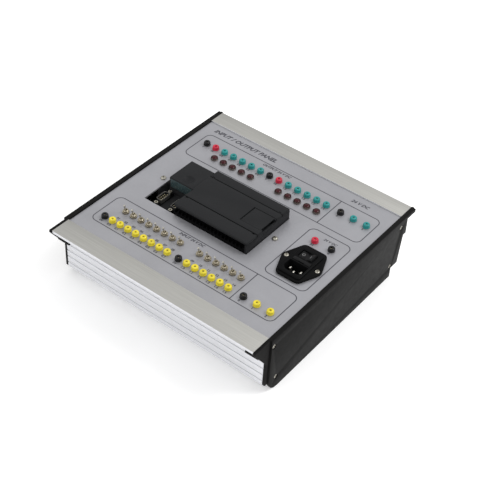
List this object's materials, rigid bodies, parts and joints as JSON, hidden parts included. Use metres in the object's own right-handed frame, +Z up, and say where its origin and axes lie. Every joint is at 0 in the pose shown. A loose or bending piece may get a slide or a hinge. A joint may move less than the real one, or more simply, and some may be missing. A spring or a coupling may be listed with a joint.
{
  "type": "plc training console",
  "caption": "Desk-top console with a compact controller set in a grey panel with sockets, lamps, toggle switches and a mains inlet, between aluminium rails and black end covers.",
  "frame": {"origin": "centre of the footprint, on the surface the end covers stand on", "axes": "+X to the user's right along the rails, +Y from the user to the rear, +Z up"},
  "size_m": [0.294, 0.305, 0.0938],
  "materials": {
    "rail_aluminium": "satin anodised, drawn lengthwise",
    "panel_grey": "satin grey with printed outlines",
    "sheet_steel": "plain sheet",
    "cover_black": "fine moulded grain",
    "controller_grey": "fine moulded grain",
    "terminal_black": "smooth",
    "screw_steel": "bright plated",
    "lever_chrome": "polished",
    "connector_metal": "nickel plated",
    "board_green": "circuit board",
    "inlet_black": "smooth moulded",
    "rocker_black": "smooth moulded",
    "pin_metal": "nickel plated brass",
    "fuse_glass": "clear",
    "trim_white": "smooth",
    "socket_yellow": "smooth moulded",
    "socket_teal": "smooth moulded",
    "socket_red": "smooth moulded",
    "socket_black": "smooth moulded",
    "lamp_red": "dark translucent",
    "nut_plate": "plated"
  },
  "bodies": {
    "console": {"front_rail": "rail_aluminium", "rear_rail": "rail_aluminium", "base_plate": "sheet_steel", "left_end_cover": "cover_black", "right_end_cover": "cover_black", "front_panel": "panel_grey", "panel_screw_1": "screw_steel", "panel_screw_2": "screw_steel", "output_board": "board_green", "input_board": "board_green", "power_socket_board": "board_green", "mounting_bracket": "sheet_steel", "din_rail": "sheet_steel", "controller_base": "controller_grey", "controller_face": "controller_grey", "controller_side_block": "controller_grey", "lower_terminal_block": "terminal_black", "upper_terminal_block": "terminal_black", "comm_port_1": "connector_metal", "comm_port_2": "connector_metal", "inlet_body": "inlet_black", "inlet_pin_line": "pin_metal", "inlet_pin_neutral": "pin_metal", "inlet_pin_earth": "pin_metal", "inlet_screw_1": "screw_steel", "inlet_screw_2": "screw_steel", "power_supply": "sheet_steel", "left_cover_screw_front_top": "screw_steel", "left_cover_screw_front_bottom": "screw_steel", "left_cover_screw_rear_top": "screw_steel", "left_cover_screw_rear_bottom": "screw_steel", "right_cover_screw_front_top": "screw_steel", "right_cover_screw_front_bottom": "screw_steel", "right_cover_screw_rear_top": "screw_steel", "right_cover_screw_rear_bottom": "screw_steel"},
    "rocker": {"inlet_rocker": "rocker_black"},
    "fuse_drawer": {"fuse_drawer": "rocker_black", "fuse": "fuse_glass"},
    "lower_cover": {"lower_terminal_cover": "controller_grey"},
    "upper_cover": {"upper_terminal_cover": "controller_grey"},
    "access_door": {"access_door": "controller_grey"},
    "mode_switch": {"mode_switch": "trim_white"},
    "trim_pot_1": {"trim_pot_1": "trim_white"},
    "trim_pot_2": {"trim_pot_2": "trim_white"},
    "din_clip": {"din_clip": "terminal_black"},
    "toggle_1": {"toggle_lever_1": "lever_chrome"},
    "toggle_2": {"toggle_lever_2": "lever_chrome"},
    "toggle_3": {"toggle_lever_3": "lever_chrome"},
    "toggle_4": {"toggle_lever_4": "lever_chrome"},
    "toggle_5": {"toggle_lever_5": "lever_chrome"},
    "toggle_6": {"toggle_lever_6": "lever_chrome"},
    "toggle_7": {"toggle_lever_7": "lever_chrome"},
    "toggle_8": {"toggle_lever_8": "lever_chrome"},
    "toggle_9": {"toggle_lever_9": "lever_chrome"},
    "toggle_10": {"toggle_lever_10": "lever_chrome"},
    "toggle_11": {"toggle_lever_11": "lever_chrome"},
    "toggle_12": {"toggle_lever_12": "lever_chrome"},
    "toggle_13": {"toggle_lever_13": "lever_chrome"},
    "toggle_14": {"toggle_lever_14": "lever_chrome"}
  },
  "joints": [
    {"name": "toggle_1_throw", "type": "hinge", "parent": "console", "child": "toggle_1", "pos_m": [-0.10224, -0.073, 0.0809], "axis": [-1, 0, 0], "range_deg": [0, 30]},
    {"name": "toggle_2_throw", "type": "hinge", "parent": "console", "child": "toggle_2", "pos_m": [-0.09068, -0.073, 0.0809], "axis": [-1, 0, 0], "range_deg": [0, 30]},
    {"name": "toggle_3_throw", "type": "hinge", "parent": "console", "child": "toggle_3", "pos_m": [-0.07912, -0.073, 0.0809], "axis": [-1, 0, 0], "range_deg": [0, 30]},
    {"name": "toggle_4_throw", "type": "hinge", "parent": "console", "child": "toggle_4", "pos_m": [-0.06756, -0.073, 0.0809], "axis": [-1, 0, 0], "range_deg": [0, 30]},
    {"name": "toggle_5_throw", "type": "hinge", "parent": "console", "child": "toggle_5", "pos_m": [-0.056, -0.073, 0.0809], "axis": [-1, 0, 0], "range_deg": [0, 30]},
    {"name": "toggle_6_throw", "type": "hinge", "parent": "console", "child": "toggle_6", "pos_m": [-0.04444, -0.073, 0.0809], "axis": [-1, 0, 0], "range_deg": [0, 30]},
    {"name": "toggle_7_throw", "type": "hinge", "parent": "console", "child": "toggle_7", "pos_m": [-0.03288, -0.073, 0.0809], "axis": [-1, 0, 0], "range_deg": [0, 30]},
    {"name": "toggle_8_throw", "type": "hinge", "parent": "console", "child": "toggle_8", "pos_m": [-0.02132, -0.073, 0.0809], "axis": [-1, 0, 0], "range_deg": [0, 30]},
    {"name": "toggle_9_throw", "type": "hinge", "parent": "console", "child": "toggle_9", "pos_m": [0.00636, -0.073, 0.0809], "axis": [-1, 0, 0], "range_deg": [0, 30]},
    {"name": "toggle_10_throw", "type": "hinge", "parent": "console", "child": "toggle_10", "pos_m": [0.01792, -0.073, 0.0809], "axis": [-1, 0, 0], "range_deg": [0, 30]},
    {"name": "toggle_11_throw", "type": "hinge", "parent": "console", "child": "toggle_11", "pos_m": [0.02948, -0.073, 0.0809], "axis": [-1, 0, 0], "range_deg": [0, 30]},
    {"name": "toggle_12_throw", "type": "hinge", "parent": "console", "child": "toggle_12", "pos_m": [0.04104, -0.073, 0.0809], "axis": [-1, 0, 0], "range_deg": [0, 30]},
    {"name": "toggle_13_throw", "type": "hinge", "parent": "console", "child": "toggle_13", "pos_m": [0.0526, -0.073, 0.0809], "axis": [-1, 0, 0], "range_deg": [0, 30]},
    {"name": "toggle_14_throw", "type": "hinge", "parent": "console", "child": "toggle_14", "pos_m": [0.06416, -0.073, 0.0809], "axis": [-1, 0, 0], "range_deg": [0, 30]},
    {"name": "rocker_throw", "type": "hinge", "parent": "console", "child": "rocker", "pos_m": [0.1012, -0.0018, 0.0803], "axis": [0, 1, 0], "range_deg": [0, 20]},
    {"name": "fuse_drawer_pull", "type": "slide", "parent": "console", "child": "fuse_drawer", "axis": [0, 0, 1], "range_m": [0, 0.015]},
    {"name": "lower_cover_hinge", "type": "hinge", "parent": "console", "child": "lower_cover", "pos_m": [-0.0086, -0.02155, 0.09205], "axis": [-1, 0, 0], "range_deg": [0, 100]},
    {"name": "upper_cover_hinge", "type": "hinge", "parent": "console", "child": "upper_cover", "pos_m": [-0.0086, 0.02845, 0.09205], "axis": [1, 0, 0], "range_deg": [0, 100]},
    {"name": "access_door_hinge", "type": "hinge", "parent": "console", "child": "access_door", "pos_m": [0.0143, 0.00245, 0.0927], "axis": [0, -1, 0], "range_deg": [0, 100]},
    {"name": "mode_switch_slide", "type": "slide", "parent": "console", "child": "mode_switch", "axis": [0, 1, 0], "range_m": [-0.0025, 0.0025]},
    {"name": "trim_pot_1_turn", "type": "hinge", "parent": "console", "child": "trim_pot_1", "pos_m": [0.0244, -0.00475, 0.0818], "axis": [0, 0, -1], "range_deg": [0, 270]},
    {"name": "trim_pot_2_turn", "type": "hinge", "parent": "console", "child": "trim_pot_2", "pos_m": [0.0244, 0.00925, 0.0818], "axis": [0, 0, -1], "range_deg": [0, 270]},
    {"name": "din_clip_slide", "type": "slide", "parent": "console", "child": "din_clip", "axis": [0, -1, 0], "range_m": [0, 0.004]}
  ]
}
